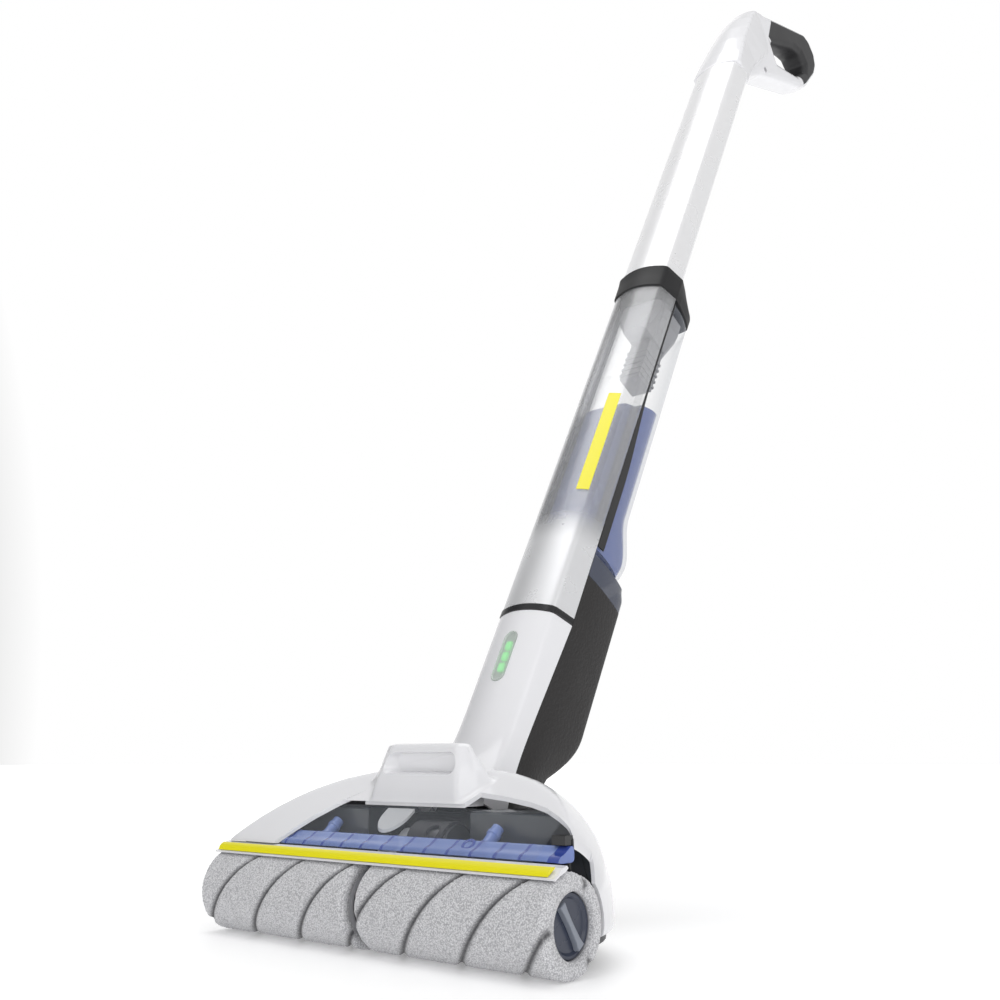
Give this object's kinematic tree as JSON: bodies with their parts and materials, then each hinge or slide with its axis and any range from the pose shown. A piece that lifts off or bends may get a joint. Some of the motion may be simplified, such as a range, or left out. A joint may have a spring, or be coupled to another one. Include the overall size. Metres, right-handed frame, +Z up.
{
  "type": "wet dry floor scrubber",
  "caption": "Cordless upright wet and dry hard-floor cleaner: wide roller head with lift-off cover, leaning stick with a slide-out water tank and a looped handle.",
  "frame": {"origin": "on the floor, directly under the tilt axis of the stick, at the centre of the middle floor pad", "axes": "+X to the machine's left end seen from behind its rollers (along the rollers), +Y towards the user behind the machine, rollers at -Y, +Z up; the stick leans back towards +Y at rest"},
  "size_m": [0.29, 0.7621, 1.0271],
  "materials": {
    "dark_plastic": "moulded dark grey, fine texture",
    "pad_rubber": "matt grey",
    "bush_brass": "turned",
    "light_grey_plastic": "moulded light grey",
    "bright_steel": "turned steel",
    "black_rubber": "matt black",
    "motor_steel": "drawn steel can",
    "clear_hose": "clear flexible hose",
    "roller_plastic": "moulded tube",
    "roller_fabric": "short light grey microfibre pile with thin dark helical grooves",
    "cap_plastic": "dark blue-grey",
    "white_gloss": "glossy white",
    "yellow_gloss": "glossy lime yellow",
    "clear_window": "clear plastic",
    "smoky_tank": "smoky dark grey",
    "blue_clear": "blue translucent plastic",
    "black_gloss": "glossy black",
    "black_plastic": "black, finely textured",
    "green_lamp": "lit green bars behind a window",
    "board_green": "circuit board",
    "cell_wrap": "blue wrapped cells",
    "smoky_blue": "smoky blue translucent plastic",
    "silver_shell": "satin silver white",
    "soft_grip": "soft dark grey overmould",
    "clear_tank": "clear plastic, blue water below the level line",
    "insert_grey": "grey"
  },
  "bodies": {
    "head": {"chassis": "dark_plastic", "glide_pads": "pad_rubber", "tilt_bushes": "bush_brass", "drive_arm_left": "light_grey_plastic", "drive_arm_right": "light_grey_plastic", "shaft_bearings": "bright_steel", "drive_belt": "black_rubber", "drive_motor": "motor_steel", "motor_cover": "light_grey_plastic", "head_hose": "clear_hose", "water_nozzle": "light_grey_plastic", "chassis_screws": "bright_steel"},
    "drive_line": {"drive_shaft": "bright_steel", "drive_pulley": "dark_plastic"},
    "motor_drive": {"motor_pulley": "dark_plastic"},
    "roller_left": {"roller_core_left": "roller_plastic", "roller_cloth_left": "roller_fabric", "roller_cap_left": "cap_plastic"},
    "roller_right": {"roller_core_right": "roller_plastic", "roller_cloth_right": "roller_fabric", "roller_cap_right": "cap_plastic"},
    "cover_unit": {"cover_shell": "white_gloss", "lift_hood": "white_gloss", "accent_strip": "yellow_gloss", "strip_carrier": "white_gloss", "cover_window": "clear_window", "dirty_tank_left": "smoky_tank", "dirty_tank_right": "smoky_tank", "scraper_bar": "blue_clear", "scraper_blade": "black_rubber", "duct_posts": "blue_clear", "centre_fairing": "light_grey_plastic"},
    "latch": {"cover_latch": "black_gloss"},
    "stick": {"neck_hub": "black_plastic", "tilt_pin": "bright_steel", "neck_front": "white_gloss", "neck_rear": "black_plastic", "neck_ring": "black_plastic", "charge_window": "clear_window", "charge_lamps": "green_lamp", "circuit_board": "board_green", "battery_cells": "cell_wrap", "battery_holder": "dark_plastic", "charging_socket": "black_plastic", "water_hose": "clear_hose", "tank_receiver": "smoky_blue", "body_front": "silver_shell", "body_stripe": "yellow_gloss", "body_carrier": "black_plastic", "collar": "black_plastic", "upper_tube": "silver_shell", "handle_frame": "white_gloss", "handle_grip": "soft_grip", "handle_screw": "bright_steel"},
    "tank": {"fresh_tank": "clear_tank", "tank_insert": "insert_grey"},
    "cap": {"tank_cap": "insert_grey"},
    "tank_catch": {"tank_latch": "black_plastic"},
    "switch": {"power_switch": "black_gloss"}
  },
  "joints": [
    {"name": "stick_tilt", "type": "hinge", "parent": "head", "child": "stick", "pos_m": [0, 0, 0.055], "axis": [1, 0, 0], "range_deg": [-47, 28]},
    {"name": "roller_spin", "type": "hinge", "parent": "head", "child": "drive_line", "pos_m": [0, -0.065, 0.027], "axis": [1, 0, 0], "continuous": true},
    {"name": "motor_spin", "type": "hinge", "parent": "head", "child": "motor_drive", "pos_m": [0, -0.038, 0.05995], "axis": [1, 0, 0], "continuous": true},
    {"name": "roller_left_off", "type": "slide", "parent": "drive_line", "child": "roller_left", "axis": [-1, 0, 0], "range_m": [0, 0.15]},
    {"name": "roller_right_off", "type": "slide", "parent": "drive_line", "child": "roller_right", "axis": [1, 0, 0], "range_m": [0, 0.15]},
    {"name": "cover_lift", "type": "slide", "parent": "head", "child": "cover_unit", "axis": [0, 0, 1], "range_m": [0, 0.09]},
    {"name": "latch_press", "type": "slide", "parent": "cover_unit", "child": "latch", "axis": [-1, 0, 0], "range_m": [0, 0.003], "stiffness_N_per_m": 400, "springref_m": -0.001},
    {"name": "tank_out", "type": "slide", "parent": "stick", "child": "tank", "axis": [0, 0.8829, -0.4695], "range_m": [0, 0.1]},
    {"name": "cap_turn", "type": "hinge", "parent": "tank", "child": "cap", "pos_m": [0, 0.27614, 0.50617], "axis": [0, 0.4695, 0.8829], "range_deg": [0, 90]},
    {"name": "tank_catch_press", "type": "slide", "parent": "stick", "child": "tank_catch", "axis": [0, -0.8829, 0.4695], "range_m": [0, 0.003], "stiffness_N_per_m": 400, "springref_m": -0.001},
    {"name": "switch_press", "type": "slide", "parent": "stick", "child": "switch", "axis": [0, 0.342, -0.9397], "range_m": [0, 0.0016], "stiffness_N_per_m": 400, "springref_m": -0.001}
  ],
  "couplings": [
    {"joint": "motor_spin", "follows": "roller_spin", "ratio": 1.9}
  ]
}
